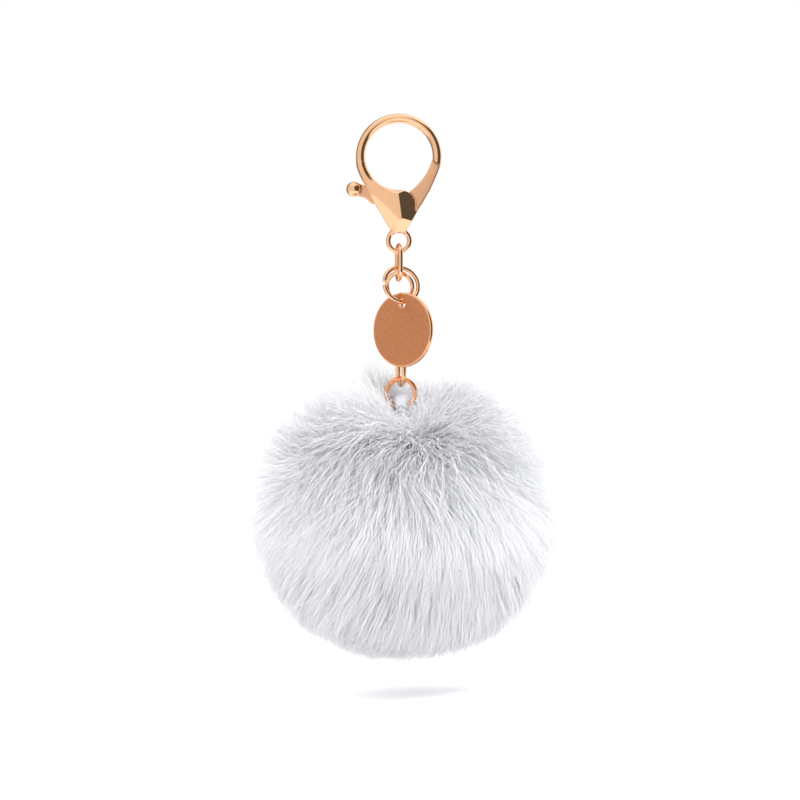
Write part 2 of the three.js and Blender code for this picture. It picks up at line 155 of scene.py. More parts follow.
def fabric(name, low, high, scale, strength):
    """Soft textile with fine fibres across its surface."""
    mat, tree, shader = new_material(name)
    fine = noise(tree, scale, 5, 0.7)
    tree.links.new(ramp(tree, fine, [(0.3, low), (0.7, high)]), shader.inputs["Base Color"])
    tree.links.new(span(tree, fine, 0.75, 0.95), shader.inputs["Roughness"])
    shader.inputs["Sheen Weight"].default_value = 0.4
    shader.inputs["Sheen Roughness"].default_value = 0.5
    bump(tree, shader, fine, strength, 0.0004)
    return mat


textile = fabric("loop_textile", (0.5, 0.52, 0.57), (0.78, 0.79, 0.83), 1500, 1.0)


def fur_material():
    """Long soft hair: cooler and darker at its root, as painted shade deep in the pile.
    Its tone makes some hairs brighter than others at random, and also carries painted shade
    in the hollow under the front's ledge and painted light on the ball's upper part.
    """
    mat, tree, shader = new_material("white_fur")
    along = tree.nodes.new("ShaderNodeAttribute")
    along.attribute_name = "along"
    tone = tree.nodes.new("ShaderNodeAttribute")
    tone.attribute_name = "tone"
    # Painted shade: each hair is darker and cooler towards its root, deep in the pile.
    root_shade_to_tip = ramp(
        tree,
        along.outputs["Fac"],
        [(0, (0.9, 0.91, 0.93)), (0.5, (0.95, 0.955, 0.967)), (1, (0.967, 0.971, 0.98))],
    )
    # The tone ramp darkens low-tone hairs. This is random tone, plus the painted shade and painted
    # light carried by the tone attribute.
    tone_shade_and_light = ramp(tree, tone.outputs["Fac"], [(0, (0.915, 0.92, 0.935)), (1, (1, 1, 1))])
    mix = tree.nodes.new("ShaderNodeMix")
    mix.data_type = "RGBA"
    mix.blend_type = "MULTIPLY"
    mix.inputs["Factor"].default_value = 1
    tree.links.new(root_shade_to_tip, mix.inputs["A"])
    tree.links.new(tone_shade_and_light, mix.inputs["B"])
    tree.links.new(mix.outputs["Result"], shader.inputs["Base Color"])
    tree.links.new(span(tree, tone.outputs["Fac"], 0.6, 0.35), shader.inputs["Roughness"])
    shader.inputs["Specular IOR Level"].default_value = 0.3
    shader.inputs["Sheen Weight"].default_value = 0.3
    return mat


fur = fur_material()


# ---------------------------------------------------------------- mesh making


def piece(name, verts, faces, material, body, replaces, normals=None):
    """A smooth-shaded mesh from points in millimetres. It rides on a body and stands for nodes."""
    mesh = bpy.data.meshes.new(name)
    mesh.from_pydata((np.asarray(verts) * MM).tolist(), [], [tuple(map(int, f)) for f in faces])
    mesh.polygons.foreach_set("use_smooth", [True] * len(mesh.polygons))
    mesh.update()
    if normals is not None:
        mesh.normals_split_custom_set_from_vertices(normals.tolist())
    obj = bpy.data.objects.new(name, mesh)
    bpy.context.collection.objects.link(obj)
    obj.data.materials.append(material)
    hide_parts(*replaces)
    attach(obj, body)
    return obj


def axis_frames(path, closed):
    """Unit tangents of a path's points, and two unit vectors across each, without twist."""
    if closed:
        tangents = np.roll(path, -1, 0) - np.roll(path, 1, 0)
    else:
        tangents = np.gradient(path, axis=0)
    tangents /= np.linalg.norm(tangents, axis=1)[:, None]
    seed = np.array([0.3, 0.9, 0.2]) if abs(tangents[0][1]) < 0.8 else np.array([0.9, 0.1, 0.2])
    across = [np.cross(tangents[0], seed)]
    for t in tangents[1:]:
        last = across[-1] - t * (across[-1] @ t)
        across.append(last / np.linalg.norm(last))
    across[0] /= np.linalg.norm(across[0])
    across = np.array(across)
    return tangents, across, np.cross(tangents, across)


def sweep(path, section, closed=False, frames=None):
    """Rings of a section's points carried along a path. Returns their points and faces."""
    path = np.asarray(path, float)
    section = np.asarray(section, float)
    if section.ndim == 2:
        section = np.repeat(section[None], len(path), 0)
    _, u, v = frames or axis_frames(path, closed)
    rings = path[:, None] + section[..., :1] * u[:, None] + section[..., 1:] * v[:, None]
    n, m = rings.shape[:2]
    faces = []
    for i in range(n if closed else n - 1):
        j = (i + 1) % n
        for k in range(m):
            q = (k + 1) % m
            faces.append((i * m + k, i * m + q, j * m + q, j * m + k))
    if not closed:
        faces.append(tuple(range(m))[::-1])
        faces.append(tuple(range((n - 1) * m, n * m)))
    return rings.reshape(-1, 3), faces


def circle_angles(sides):
    return np.arange(sides) * TAU / sides


def circle(radius, sides):
    angle = circle_angles(sides)
    return radius * np.stack([np.cos(angle), np.sin(angle)], 1)


def turn_and_lean(points, turn, lean=0.0):
    """Points of a piece in its XZ plane, leant to its back and then turned about Z."""
    a, b = math.radians(turn), math.radians(lean)
    cos_a, sin_a, cos_b, sin_b = math.cos(a), math.sin(a), math.cos(b), math.sin(b)
    lean_matrix = np.array([[1, 0, 0], [0, cos_b, -sin_b], [0, sin_b, cos_b]])
    turn_matrix = np.array([[cos_a, -sin_a, 0], [sin_a, cos_a, 0], [0, 0, 1]])
    return np.asarray(points) @ (turn_matrix @ lean_matrix).T


def smooth_max(a, b, k):
    return 0.5 * (a + b + np.sqrt((a - b) ** 2 + k * k))


def smooth_min(a, b, k):
    return 0.5 * (a + b - np.sqrt((a - b) ** 2 + k * k))


NET_ROUNDS = 6
NET_SMOOTH_ROUNDS = 4
SLOPE_STEP = 0.02


def surface_net(solid, low, high, step):
    """The closed skin where a solid's distance is zero, in quads about one step wide."""
    low, high = np.asarray(low, float) - 2 * step, np.asarray(high, float) + 2 * step
    axes = [np.arange(low[i], high[i], step) for i in range(3)]
    value = solid(np.stack(np.meshgrid(*axes, indexing="ij"), -1))
    size = np.array(value.shape) - 1

    def cut(offset):
        return value[tuple(slice(offset[i], offset[i] + size[i]) for i in range(3))]

    total = np.zeros((*size, 3))
    hits = np.zeros(size)
    for axis in range(3):
        others = [i for i in range(3) if i != axis]
        for corner in range(4):
            start = np.zeros(3, int)
            start[others[0]], start[others[1]] = corner % 2, corner // 2
            end = start.copy()
            end[axis] = 1
            a, b = cut(start), cut(end)
            cross = (a < 0) != (b < 0)
            t = np.where(cross, a / np.where(cross, a - b, 1), 0)
            place = np.broadcast_to(start, total.shape).astype(float).copy()
            place[..., axis] = t
            total += place * cross[..., None]
            hits += cross
    active = hits > 0
    index = np.full(size, -1)
    index[active] = np.arange(active.sum())
    points = low + (np.argwhere(active) + total[active] / hits[active][:, None]) * step
    faces = []
    for axis in range(3):
        first, second = [(axis + 1) % 3, (axis + 2) % 3]
        lower = value[tuple(slice(0, -1) if i == axis else slice(None) for i in range(3))] < 0
        upper = value[tuple(slice(1, None) if i == axis else slice(None) for i in range(3))] < 0
        for way, change in ((1, lower & ~upper), (-1, ~lower & upper)):
            at = np.argwhere(change)
            one, two = np.zeros(3, int), np.zeros(3, int)
            one[first], two[second] = 1, 1
            corners = [at - one - two, at - two, at, at - one]
            quad = np.stack([index[tuple(c.T)] for c in corners], 1)
            faces.append(quad[:, ::way])
    faces = np.concatenate(faces)
    edges = np.concatenate([faces[:, [0, 1]], faces[:, [1, 2]], faces[:, [2, 3]], faces[:, [3, 0]]])
    for round_number in range(NET_ROUNDS):
        if round_number < NET_SMOOTH_ROUNDS:
            near = np.zeros(points.shape)
            count = np.zeros(len(points))
            for a, b in (edges.T, edges[:, ::-1].T):
                np.add.at(near, a, points[b])
                np.add.at(count, a, 1)
            points = points + 0.5 * (near / count[:, None] - points)
        d = solid(points)
        slope = slope_of(solid, points)
        scale = np.maximum((slope**2).sum(-1), 0.3)
        points = points - (np.clip(d, -step, step) / scale)[:, None] * slope
    return points, faces, unit(slope_of(solid, points))


def slope_of(solid, points):
    """How a solid's distance changes along each axis."""
    steps = np.eye(3) * SLOPE_STEP
    rises = [solid(points + e) - solid(points - e) for e in steps]
    return np.stack(rises, -1) / (2 * SLOPE_STEP)


def polygon_distance(x, z, corners):
    """Signed distance to a polygon in the XZ plane, negative inside."""
    best = np.full(x.shape, 1e9)
    odd = np.zeros(x.shape, bool)
    for (ax, az), (bx, bz) in zip(corners, np.roll(corners, -1, 0)):
        ex, ez = bx - ax, bz - az
        t = np.clip(((x - ax) * ex + (z - az) * ez) / (ex * ex + ez * ez), 0, 1)
        best = np.minimum(best, (x - ax - t * ex) ** 2 + (z - az - t * ez) ** 2)
        if az != bz:
            odd ^= ((az > z) != (bz > z)) & (x < ax + (z - az) * ex / ez)
    return np.sqrt(best) * np.where(odd, -1, 1)


def flat_distance(x, z, corners):
    """The polygon's distance, found only once for all depths where the points are a grid."""
    if x.ndim == 3:
        return polygon_distance(x[:, :1], z[:, :1], corners)
    return polygon_distance(x, z, corners)


def polar(radius, degrees, middle=(0, 0)):
    angle = np.radians(degrees)
    return np.array([middle[0] + radius * np.cos(angle), middle[1] + radius * np.sin(angle)])


def bezier(a, b, c, steps):
    t = np.linspace(0, 1, steps)[:, None]
    return (1 - t) ** 2 * np.array(a) + 2 * t * (1 - t) * np.array(b) + t * t * np.array(c)


# ---------------------------------------------------------------- clasp

HOOK_INNER = 9.1
HOOK_BAND = 2.5
HOOK_HALF_DEPTH = 1.6
HOOK_OUTER = HOOK_INNER + HOOK_BAND
HOOK_MIDDLE = HOOK_INNER + HOOK_BAND / 2
NECK_BOTTOM = -HOOK_INNER - 10.8
EYE_HOLE = 2.2
EYE_WIRE = 1.3
EYE_MIDDLE = NECK_BOTTOM - EYE_HOLE - EYE_WIRE / 2
PIVOT = polar(HOOK_INNER + 3.8, -86.4)
BOSS = 3.6
GATE_TIP = -10.5
GATE_PLATE = 1.9
GATE_OPENS = 28
LEVER_LENGTH = 13.6
LEVER_ANGLE = 162.6
HALF_CUT = 0.06
SLOT_CLEARANCE = 0.12
HUB_RADIUS = 3
PIN_HOLE_RADIUS = 1.0
ARM_HALF_DEPTH = 1.6
KNOB_RADIUS = 2.05
SLOT_ANGLES = 5
CLASP_MIDDLE = np.array([0, 0, -HOOK_INNER])

closing = polar(HOOK_MIDDLE, GATE_TIP)
closing_way = (closing - PIVOT) / np.linalg.norm(closing - PIVOT)


def past_closing(x, z):
    """Distance past the slanted face where gate and hook meet, towards the hook."""
    return (x - closing[0]) * closing_way[0] + (z - closing[1]) * closing_way[1]


def parts(p):
    return p[..., 0], p[..., 1], p[..., 2]


inner_arc = [polar(HOOK_INNER, a) for a in np.linspace(-86.4, -170, 22)]
left_side = bezier(polar(HOOK_OUTER, 190), polar(HOOK_OUTER + 1, 218), (-2.1, NECK_BOTTOM), 14)
body_outline = np.array(
    [(2.1, NECK_BOTTOM - 0.65), (2.1, NECK_BOTTOM), polar(BOSS + 1, -27, PIVOT), PIVOT]
    + inner_arc
    + list(left_side)
    + [(-2.1, NECK_BOTTOM - 0.65)]
)
# The lip round the hook's inside rises in a quarter ellipse, from its foot to its top.
LIP_RADIUS = HOOK_INNER + 2
LIP_FOOT = 1.1
LIP_TOP = 2.85
# The three corners of the V bevel's upper edge.
V_TIP = np.array([0.2, -17.3])
LEFT_CREASE = np.array([-8.3, -8.1])
RIGHT_CREASE = np.array([4.75, -14.9])


def crease_height(x, z):
    """Half depth of the body's face: a dome, creased down its middle, in a wide V bevel."""
    middle = x + 0.05 + 0.134 * (z + 10.5)
    left = 2.86 + 0.05 * middle
    right = 2.86 - 0.36 * middle
    dome = smooth_min(left, right, 0.08) - 0.012 * (z + 13.5) ** 2
    for start, end in ((LEFT_CREASE, V_TIP), (V_TIP, RIGHT_CREASE)):
        ex, ez = (end - start) / np.linalg.norm(end - start)
        inward = ex * (z - start[1]) - ez * (x - start[0])
        dome = smooth_min(dome, 2.6 + 0.52 * inward, 0.08)
    return dome


def clasp_solid(p):
    x, y, z = parts(p)
    depth = np.abs(y)
    reach = np.hypot(x, z)
    angle = np.degrees(np.arctan2(z, x))
    across = (reach - HOOK_MIDDLE) / (HOOK_BAND / 2)
    hook = (np.hypot(across, depth / HOOK_HALF_DEPTH) - 1) * (HOOK_BAND / 2)
    hook = np.maximum(hook, np.where((angle > -140) & (angle < 2 * GATE_TIP), 1.5, -1))
    hook = np.maximum(hook, np.where((x > 0) & (z < 6), HALF_CUT - past_closing(x, z), -9))
    boss = np.hypot(x - PIVOT[0], z - PIVOT[1]) - BOSS
    outline = smooth_min(flat_distance(x, z, body_outline), boss, 0.3)
    in_lip = (LIP_RADIUS - reach) / (LIP_RADIUS - HOOK_INNER)
    lip = LIP_FOOT + (LIP_TOP - LIP_FOOT) * np.sqrt(np.clip(1 - in_lip**2, 0, 1))
    lip = np.where(reach < LIP_RADIUS, lip, LIP_TOP)
    top = smooth_min(crease_height(x, z), lip, 0.15)
    bevel = 1.5 + 0.6 * np.clip(-outline, 0, 1) + 1.6 * step_between(-z, 3, 13)
    top = smooth_min(top, bevel, 0.1)
    grown = np.where(x < 0, step_between(angle, -172, -122), 1.0)
    like_hook = HOOK_HALF_DEPTH * np.sqrt(np.clip(1 - across**2, 0, 1))
    top = top * grown + like_hook * (1 - grown)
    body = smooth_max(outline, (depth - top) * 0.85, 0.12)
    eye = np.hypot(np.hypot(x, z - EYE_MIDDLE) - EYE_HOLE - EYE_WIRE / 2, y) - EYE_WIRE / 2
    solid = smooth_min(smooth_min(hook, body, 0.35), eye, 0.35)
    solid = np.maximum(solid, EYE_HOLE - np.hypot(x, z - EYE_MIDDLE))
    slot = boss - 0.6
    for i in range(SLOT_ANGLES):
        a = math.radians(LEVER_ANGLE + GATE_OPENS * i / (SLOT_ANGLES - 1))
        along = (x - PIVOT[0]) * math.cos(a) + (z - PIVOT[1]) * math.sin(a)
        aside = (z - PIVOT[1]) * math.cos(a) - (x - PIVOT[0]) * math.sin(a)
        low, high = lever_sides(along)
        band = np.maximum(aside - low, -high - aside) - 0.3
        slot = np.minimum(slot, np.maximum(band, -along))
    slot = np.maximum(slot, depth - GATE_PLATE / 2 - SLOT_CLEARANCE)
    return smooth_max(solid, -slot, 0.08)


def lever_sides(along):
    """How far the thumb lever reaches below and above its middle line."""
    low = 0.8 + 0.55 * step_between(along, 5, 6.2)
    low += 0.9 * np.exp(-(((along - 7.8) / 1.3) ** 2))
    high = 1.4 + 0.4 * step_between(along, 8.5, 11)
    return low, high


NET = 0.15
clasp_points, clasp_faces, clasp_normals = surface_net(
    clasp_solid, (-11.8, -3, EYE_MIDDLE - 3.8), (11.8, 3, 11.8), NET
)
piece(
    "clasp_body_cast",
    clasp_points + CLASP_MIDDLE,
    clasp_faces,
    gold,
    "clasp",
    ["clasp_body"],
    clasp_normals,
)

gate_tip_in = polar(HOOK_MIDDLE - 1.35, GATE_TIP / 2)
gate_tip_out = polar(HOOK_MIDDLE + 1.35, GATE_TIP / 2)
gate_root_out = polar(BOSS + 1, -24, PIVOT)
gate_root_in = polar(BOSS + 0.3, 58, PIVOT)
gate_outline = np.array(
    [PIVOT]
    + list(bezier(gate_root_out, polar(HOOK_OUTER + 1, -42), gate_tip_out, 14))
    + list(bezier(gate_tip_in, polar(HOOK_INNER + 0.5, -37), gate_root_in, 14))
)
lever_way = polar(1, LEVER_ANGLE)
lever_end = polar(LEVER_LENGTH, LEVER_ANGLE, PIVOT)


def gate_solid(p):
    x, y, z = parts(p)
    depth = np.abs(y)
    from_pivot = np.hypot(x - PIVOT[0], z - PIVOT[1])
    outline = np.maximum(flat_distance(x, z, gate_outline), past_closing(x, z) + HALF_CUT)
    arm = smooth_max(outline, depth - ARM_HALF_DEPTH, 0.2)
    arm = np.maximum(arm, BOSS + 0.3 - from_pivot)
    web = np.maximum(outline, depth - GATE_PLATE / 2)
    hub = np.maximum(from_pivot - HUB_RADIUS, depth - GATE_PLATE / 2)
    along = (x - PIVOT[0]) * lever_way[0] + (z - PIVOT[1]) * lever_way[1]
    aside = (z - PIVOT[1]) * lever_way[0] - (x - PIVOT[0]) * lever_way[1]
    low, high = lever_sides(along)
    band = np.maximum(aside - low, -high - aside)
    beyond = np.maximum(along - LEVER_LENGTH, -along)
    lever = np.maximum(smooth_max(band, depth - GATE_PLATE / 2, 0.2), beyond)
    knob = np.sqrt((x - lever_end[0]) ** 2 + y * y + (z - lever_end[1]) ** 2) - KNOB_RADIUS
    solid = np.minimum(np.minimum(arm, web), np.minimum(hub, smooth_min(lever, knob, 0.2)))
    return np.maximum(solid, PIN_HOLE_RADIUS - from_pivot)


gate_points, gate_faces, gate_normals = surface_net(
    gate_solid, (-14.5, -2.1, -16.2), (11.3, 2.1, -0.8), NET
)
gate = piece(
    "clasp_gate_lever",
    gate_points + CLASP_MIDDLE,
    gate_faces,
    gold_satin,
    "gate",
    ["clasp_gate"],
    gate_normals,
)
gate.data.materials.append(gold)
face_middles = gate_points[gate_faces].mean(1)
from_knob = np.hypot(face_middles[:, 0] - lever_end[0], face_middles[:, 2] - lever_end[1])
on_knob = (from_knob < KNOB_RADIUS + 0.07).astype(int)
gate.data.polygons.foreach_set("material_index", on_knob.tolist())

for hidden in ("gate_pin", "gate_spring"):
    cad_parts[hidden].data.materials.clear()
    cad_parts[hidden].data.materials.append(steel)

# ---------------------------------------------------------------- chain, rings and tag

LINK_WIRE = 1.33
LINK_SIDE = 3.6
LINK_RADIUS = 2.8


def link_path():
    half = np.linspace(0, math.pi, 20)
    top = np.stack([LINK_RADIUS * np.cos(half), 0 * half, LINK_RADIUS * np.sin(half)], 1)
    straight = np.linspace(0, 1, 8)[1:-1, None]
    top[:, 2] += LINK_SIDE / 2
    bottom = top * [-1, 1, -1]
    left = top[-1] + (bottom[0] - top[-1]) * straight
    right = bottom[-1] + (top[0] - bottom[-1]) * straight
    return np.concatenate([top, left, bottom, right])


for number, link_turn in ((1, 99), (2, 90), (3, 0), (4, 106)):
    points, faces = sweep(link_path(), circle(LINK_WIRE / 2, 16), closed=True)
    node = f"chain_link_{number}"
    body = ("first_link", "second_link", "third_link", "fourth_link")[number - 1]
    piece(
        node + "_wire",
        turn_and_lean(points, link_turn) + middle_of(node),
        faces,
        gold,
        body,
        [node],
    )


def ring_piece(node, size, wire, cut_angle, cut, turn, lean, material):
    """A round wire bent to a ring, with a slight bevel at each cut end."""
    radius = (size - wire) / 2
    half = cut / 2 / radius
    start = math.radians(cut_angle) + half
    angle = np.linspace(start, start + TAU - 2 * half, 72)
    path = radius * np.stack([np.cos(angle), 0 * angle, np.sin(angle)], 1)
    section = np.repeat(circle(wire / 2, 16)[None], len(path), 0)
    section[[0, -1]] *= 0.86
    points, faces = sweep(path, section)
    placed = turn_and_lean(points, turn, lean) + middle_of(node)
    piece(node + "_wire", placed, faces, material, node, [node])


ring_piece("tag_ring", 10.9, 1.12, 176, 1.1, 22, -16, gold)
ring_piece("chain_ring", 8.7, 1.12, -90, 0.1, -25, 11, gold)
ring_piece("pompom_ring", 9, 1.3, -90, 0.08, 0, 0, copper)

# The tag: satin faces inside a polished, rounded rim, with a rounded hole.
TAG_RADIUS = 10
TAG_HOLE = 1.26
TAG_HOLE_UP = TAG_RADIUS - 2.8


def tag_mesh():
    sides = 128
    ways = circle(1, sides)
    hole_middle = np.array([0, TAG_HOLE_UP])
    outer = [(0.55, -0.6), (0.42, -0.6), (0.2, -0.57), (0.06, -0.47), (0, -0.3)]
    outer += [(inset, -y) for inset, y in outer[::-1]]
    inner = [(0.16, 0.6), (0.05, 0.56), (0, 0.44), (0, -0.44), (0.05, -0.56), (0.16, -0.6)]
    points, faces, finish = [], [], []
    for inset, y in outer:
        flat = ways * (TAG_RADIUS - inset)
        points += [(a, y, b) for a, b in flat]
    for rise, y in inner:
        flat = hole_middle + ways * (TAG_HOLE + rise)
        points += [(a, y, b) for a, b in flat]
    rows = len(outer) + len(inner)
    satin = (len(outer) - 1, rows - 1)
    for r in range(rows):
        s = (r + 1) % rows
        for k in range(sides):
            q = (k + 1) % sides
            faces.append((r * sides + k, r * sides + q, s * sides + q, s * sides + k))
            near_rim = r in (0, len(outer) - 2)
            finish.append(0 if r in satin or near_rim else 1)
    return np.array(points), faces, finish


tag_points, tag_faces, tag_finish = tag_mesh()
tag = piece(
    "tag_disc_plate",
    turn_and_lean(tag_points, -39) + middle_of("tag_disc"),
    tag_faces,
    copper_satin,
    "tag",
    ["tag_disc"],
)
tag.data.materials.append(copper_rim)
tag.data.polygons.foreach_set("material_index", tag_finish)

# ---------------------------------------------------------------- fur ball

BACKING_RADIUS = 25.0
HAIR_ROOT_RADIUS = BACKING_RADIUS - 0.8
backing_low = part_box("fur_backing")[0]
ball_x, ball_y, _ = middle_of("fur_backing")
BALL = np.array([ball_x, ball_y, backing_low[2] / MM + BACKING_RADIUS])
MOUTH_ANGLE = 7.5
FAN_MIDDLE = np.array([0.1, -0.8, 0.59])
SWIRL_MIDDLE = np.array([0.45, -0.88, 0.16])
TUFT_MIDDLE = np.array([-0.22, 0.2, 0.95])


def smooth_noise(points, count, frequency):
    """A smooth random vector at each point, from waves in random directions."""
    total = np.zeros(points.shape)
    for _ in range(count):
        way = rng.normal(size=3)
        way *= frequency * rng.uniform(0.6, 1.4) / np.linalg.norm(way)
        phase = rng.uniform(0, TAU, 3)
        total += np.sin((points @ way)[:, None] + phase) / math.sqrt(count / 2)
    return total


def reach_of(way):
    """How far the longest hairs' tips reach from the ball's middle, by direction."""
    x, y, z = way.T
    reach = 45.2 - 5.5 * np.maximum(-z, 0) ** 1.6 + 0.8 * x
    azimuth = np.arctan2(x, -y)
    by_the_ring = np.exp(-((x / 0.2) ** 2)) * step_between(-y, -0.12, 0.02)
    front = np.maximum(np.exp(-((azimuth / 0.62) ** 2)), by_the_ring)
    ceiling = 38.5 - 12.5 * front + 4.5 * np.exp(-(((azimuth + 2.3) / 0.4) ** 2))
    return np.minimum(reach, ceiling / np.maximum(z, 0.05))


def spread_points(count):
    """Evenly spread directions, none of them in the mouth."""
    i = np.arange(count) + 0.5
    lowest = -1
    highest = math.cos(math.radians(MOUTH_ANGLE))
    z = lowest + (highest - lowest) * i / count
    golden = math.pi * (1 + math.sqrt(5)) * i
    ring = np.sqrt(1 - z * z)
    return np.stack([ring * np.cos(golden), ring * np.sin(golden), z], 1)


def away_from(roots, pole):
    """At each root, the unit direction over the ball that leads away from a pole."""
    across = roots * (roots @ pole)[:, None] - pole
    return across / np.maximum(np.linalg.norm(across, axis=1), 0.05)[:, None]


def tuft_of(roots):
    """How near each root is to the tuft that stands behind the ring, 0 to 1."""
    return np.exp(-(((roots - TUFT_MIDDLE) ** 2).sum(1)) / 0.1)


def comb(roots):
    """The way that the hair leans over the ball, and how far."""
    _, y, z = roots.T
    down = away_from(roots, np.array([0, 0, 1.0]))
    fan = away_from(roots, FAN_MIDDLE)
    front = step_between(-y, -0.1, 0.75)
    upper = step_between(z, 0.1, 0.7)
    back_rim = step_between(y, -0.2, 0.2) * step_between(z, 0.8, 0.93)
    back = step_between(y, 0.1, 0.7) * step_between(0.85 - z, 0, 0.3)
    down_part = (0.04 + upper * (0.02 + 0.45 * front**2)) * (1 - back_rim) + 0.35 * back
    fan_part = 0.75 * front * step_between(0.55 - z, 0, 0.4)
    lean = down * down_part[:, None] + fan * fan_part[:, None]
    lean += (TUFT_MIDDLE - roots) * (0.8 * tuft_of(roots))[:, None]
    messy = np.exp(-(((roots - SWIRL_MIDDLE) ** 2).sum(1)) / 0.05)
    lean *= (1 - 0.8 * messy)[:, None]
    lean += smooth_noise(roots, 12, 9.0) * (0.3 * messy)[:, None]
    return lean + 0.11 * smooth_noise(roots, 10, 4.0) + 0.08 * smooth_noise(roots, 12, 9.0)


def hollow_of(roots):
    """How deep in the hollow under the ledge of the front's upper hair each root is, 0 to 1."""
    x, y, z = roots.T
    front = step_between(-y, 0.2, 0.8)
    return front * np.exp(-(((z + 0.1) / 0.2) ** 2)) * np.exp(-(((x - 0.1) / 0.6) ** 2))


def fullness(roots):
    """Where the locks stand longer or shorter than the rest, as a part of their reach."""
    x, y, z = roots.T
    front = step_between(-y, 0.2, 0.8)
    shoulder = step_between(z, 0.25, 0.7) * (1 - front)
    ledge = front * np.exp(-(((z - 0.36) / 0.17) ** 2))
    hollow = hollow_of(roots)
    bottom = step_between(-z, 0.4, 0.9)
    side = step_between(np.abs(x), 0.5, 0.9)
    swells = 0.12 * shoulder + 0.09 * ledge + 0.04 * bottom + 0.05 * side
    swells += 0.12 * tuft_of(roots)
    return swells - 0.22 * hollow


def hair_points(roots, lean, tip_radius, rise, steps):
    """Each hair's points: it leaves its root upright and bends over towards its lean.
    In front of the loop it lies down from its root."""
    s = np.linspace(0, 1, steps)[None, :, None]
    _, y, z = roots.T
    flat = step_between(-y, 0, 0.45) * step_between(z, 0.2, 0.45)
    bend = (1.5 - 0.7 * flat)[:, None, None]
    lift_power = (rise + (1.5 - rise) * flat)[:, None, None]
    way = unit(roots[:, None] + (lean * (1 + 0.5 * flat)[:, None])[:, None] * s**bend)
    lift = 1 - (1 - s) ** lift_power
    return way * (HAIR_ROOT_RADIUS + (tip_radius[:, None, None] - HAIR_ROOT_RADIUS) * lift)


def strands(name, paths, radius, tone, replaces):
    """Closed three-sided tapering hairs along paths, as one mesh that stands for a node.
    Each point keeps how far along its hair it is, and its hair's tone, for the material.
    In the fur that tone holds painted shade and painted light as well as random tone."""
    count, steps = paths.shape[:2]
    tangent = unit(np.gradient(paths, axis=1))
    side = unit(np.cross(tangent, rng.normal(size=(count, 1, 3))))
    other = np.cross(tangent, side)
    taper = np.interp(np.linspace(0, 1, steps)[:-1], [0, 0.3, 0.6, 1], [0.8, 1, 0.8, 0.1])
    thick = radius[:, None] * taper
    rings = []
    for k in range(3):
        a = TAU * k / 3
        offset = math.cos(a) * side + math.sin(a) * other
        rings.append(paths[:, :-1] + offset[:, :-1] * thick[..., None])
    body = np.stack(rings, 2).reshape(count, -1, 3)
    verts = np.concatenate([body, paths[:, -1:]], 1)
    per = verts.shape[1]
    rows = steps - 1
    quads = []
    for r in range(rows - 1):
        for k in range(3):
            q = (k + 1) % 3
            quads.append((r * 3 + k, r * 3 + q, r * 3 + 3 + q, r * 3 + 3 + k))
    last = (rows - 1) * 3
    tips = [(last + k, last + (k + 1) % 3, per - 1) for k in range(3)] + [(2, 1, 0)]
    base = (np.arange(count) * per)[:, None]
    loops = np.concatenate([(base + np.array(quads).ravel()), (base + np.array(tips).ravel())], 1)
    lengths = np.tile([4] * len(quads) + [3] * len(tips), count)
    starts = np.concatenate([[0], np.cumsum(lengths)[:-1]])
    mesh = bpy.data.meshes.new(name)
    mesh.vertices.add(count * per)
    mesh.vertices.foreach_set("co", (verts * MM).astype(np.float32).ravel())
    mesh.loops.add(loops.size)
    mesh.loops.foreach_set("vertex_index", loops.astype(np.int32).ravel())
    mesh.polygons.add(len(lengths))
    mesh.polygons.foreach_set("loop_start", starts.astype(np.int32))
    mesh.update(calc_edges=True)
    mesh.validate()
    mesh.polygons.foreach_set("use_smooth", [True] * len(mesh.polygons))
    rise = np.repeat(np.linspace(0, 1, steps)[:-1], 3)
    along = np.tile(np.append(rise, 1), (count, 1))
    for key, values in (("along", along), ("tone", np.repeat(tone[:, None], per, 1))):
        layer = mesh.attributes.new(key, "FLOAT", "POINT")
        layer.data.foreach_set("value", values.astype(np.float32).ravel())
    obj = bpy.data.objects.new(name, mesh)
    bpy.context.collection.objects.link(obj)
    mesh.materials.append(fur)
    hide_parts(replaces)
    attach(obj, "pompom")


LOCKS = 3200
HAIRS_PER_PIECE = 9000
FUR_PIECES = 10
HAIR_STEPS = 5
HAIRS_AT_ONCE = 6000


